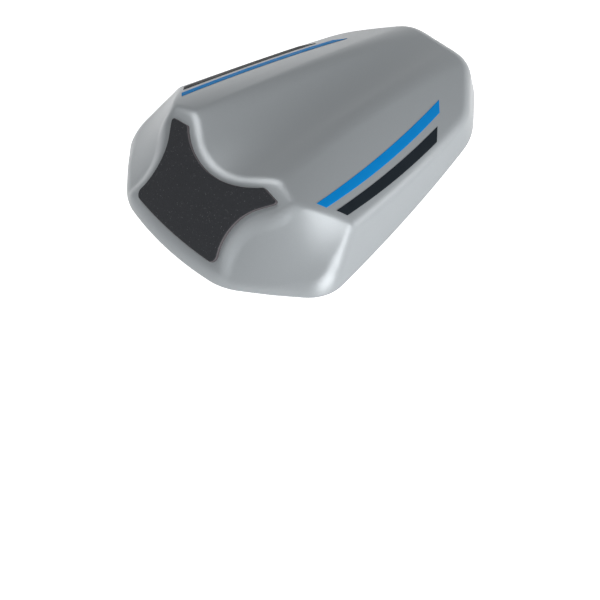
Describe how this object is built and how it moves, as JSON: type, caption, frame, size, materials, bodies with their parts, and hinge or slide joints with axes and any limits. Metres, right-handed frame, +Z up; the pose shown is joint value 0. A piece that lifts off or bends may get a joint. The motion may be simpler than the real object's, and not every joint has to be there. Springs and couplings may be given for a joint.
{
  "type": "seat cowl",
  "caption": "Hollow tapering seat cowl with a channelled crown, leaning padded front face, striped shoulders, and a base plate with hooks and a lock striker.",
  "frame": {"origin": "middle of the overall box in X and Y, on the plane of the lower rim", "axes": "+Y towards the tail, +X towards the rider's right, +Z up"},
  "size_m": [0.2302, 0.299, 0.0541],
  "materials": {
    "silver_paint": "silver metallic paint under clear lacquer",
    "pad_rubber": "grained, matt",
    "blue_film": "satin film",
    "black_film": "satin film",
    "black_plastic": "fine moulded grain",
    "brass": "turned",
    "zinc_steel": "bright zinc plating",
    "striker_steel": "bright zinc plating, slightly worn",
    "bumper_rubber": "matt"
  },
  "bodies": {
    "root": {"cowl_shell": "silver_paint", "backrest_pad": "pad_rubber", "blue_stripe_left": "blue_film", "blue_stripe_right": "blue_film", "black_stripe_left": "black_film", "black_stripe_right": "black_film", "base_plate": "black_plastic", "boss_inserts": "brass", "base_screws": "zinc_steel", "base_washers": "zinc_steel", "lock_striker": "striker_steel", "striker_plate": "zinc_steel", "striker_washers": "zinc_steel", "striker_nuts": "zinc_steel", "bumper_front_left": "bumper_rubber", "bumper_front_right": "bumper_rubber", "bumper_rear_left": "bumper_rubber", "bumper_rear_right": "bumper_rubber"}
  },
  "joints": []
}
